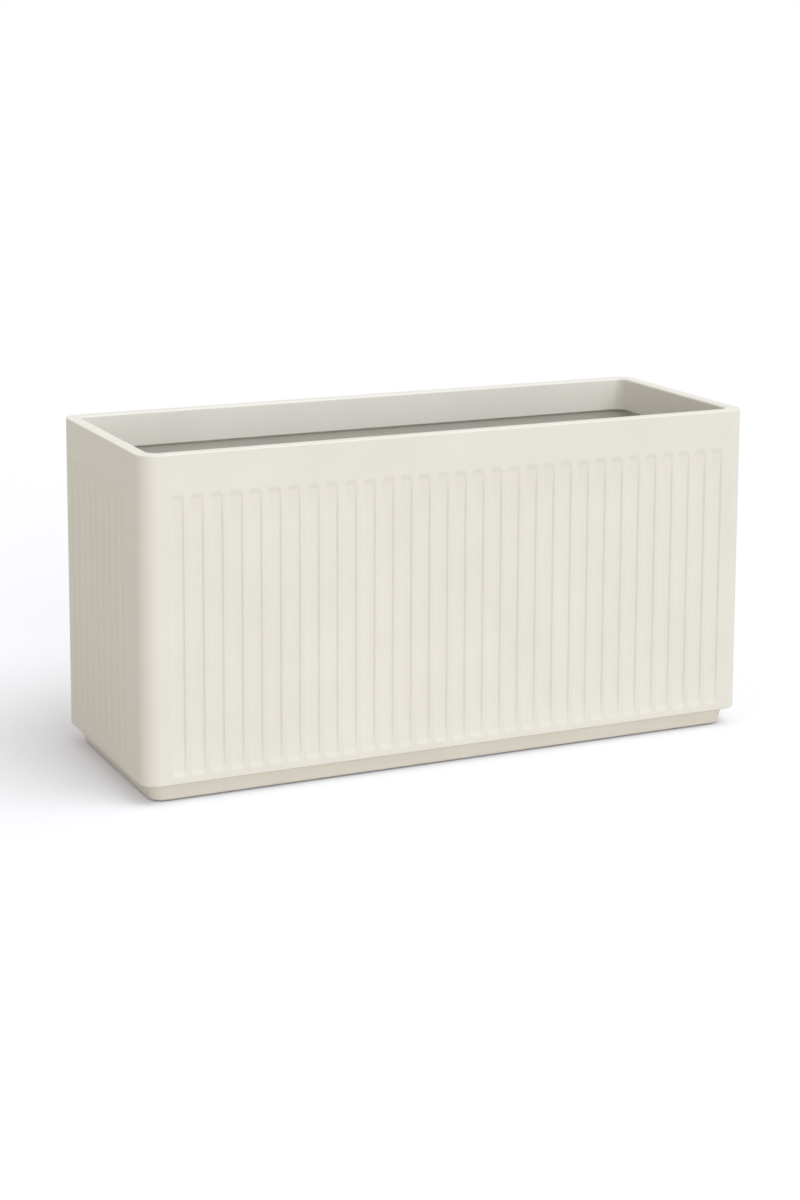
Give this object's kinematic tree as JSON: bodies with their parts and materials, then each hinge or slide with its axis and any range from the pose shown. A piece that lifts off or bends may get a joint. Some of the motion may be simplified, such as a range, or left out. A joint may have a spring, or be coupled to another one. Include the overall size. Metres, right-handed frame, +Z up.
{
  "type": "rectangular planter",
  "caption": "Rectangular fluted plant trough with a turned-in rim on a recessed plinth, with lift-out drainage grids and pull-out drain plugs.",
  "frame": {"origin": "on the ground under the middle of the planter", "axes": "+X along the long side to the right, +Y from the front to the back, +Z up"},
  "size_m": [0.8, 0.3, 0.4105],
  "materials": {
    "tub": "satin moulded plastic, warm ivory",
    "plinth": "satin moulded plastic, warm ivory",
    "grid": "matt moulded plastic, dark grey",
    "rubber": "matt black rubber",
    "steel": "bright stainless steel"
  },
  "bodies": {
    "planter": {"planter_tub": "tub", "plinth_frame": "plinth", "plinth_screw_1": "steel", "plinth_screw_2": "steel", "plinth_screw_3": "steel", "plinth_screw_4": "steel", "plinth_screw_5": "steel", "plinth_screw_6": "steel", "plinth_screw_7": "steel", "plinth_screw_8": "steel", "plinth_screw_9": "steel", "plinth_screw_10": "steel", "foot_pad_1": "rubber", "foot_pad_2": "rubber", "foot_pad_3": "rubber", "foot_pad_4": "rubber", "foot_pad_5": "rubber", "foot_pad_6": "rubber"},
    "grid_left": {"drainage_grid_left": "grid"},
    "grid_right": {"drainage_grid_right": "grid"},
    "plug_1": {"drain_plug_1": "rubber"},
    "plug_2": {"drain_plug_2": "rubber"},
    "plug_3": {"drain_plug_3": "rubber"},
    "plug_4": {"drain_plug_4": "rubber"}
  },
  "joints": [
    {"name": "grid_left_lift", "type": "slide", "parent": "planter", "child": "grid_left", "axis": [0, 0, 1], "range_m": [0, 0.395]},
    {"name": "grid_right_lift", "type": "slide", "parent": "planter", "child": "grid_right", "axis": [0, 0, 1], "range_m": [0, 0.395]},
    {"name": "plug_1_lift", "type": "slide", "parent": "planter", "child": "plug_1", "axis": [0, 0, 1], "range_m": [0, 0.016]},
    {"name": "plug_2_lift", "type": "slide", "parent": "planter", "child": "plug_2", "axis": [0, 0, 1], "range_m": [0, 0.016]},
    {"name": "plug_3_lift", "type": "slide", "parent": "planter", "child": "plug_3", "axis": [0, 0, 1], "range_m": [0, 0.016]},
    {"name": "plug_4_lift", "type": "slide", "parent": "planter", "child": "plug_4", "axis": [0, 0, 1], "range_m": [0, 0.016]}
  ]
}
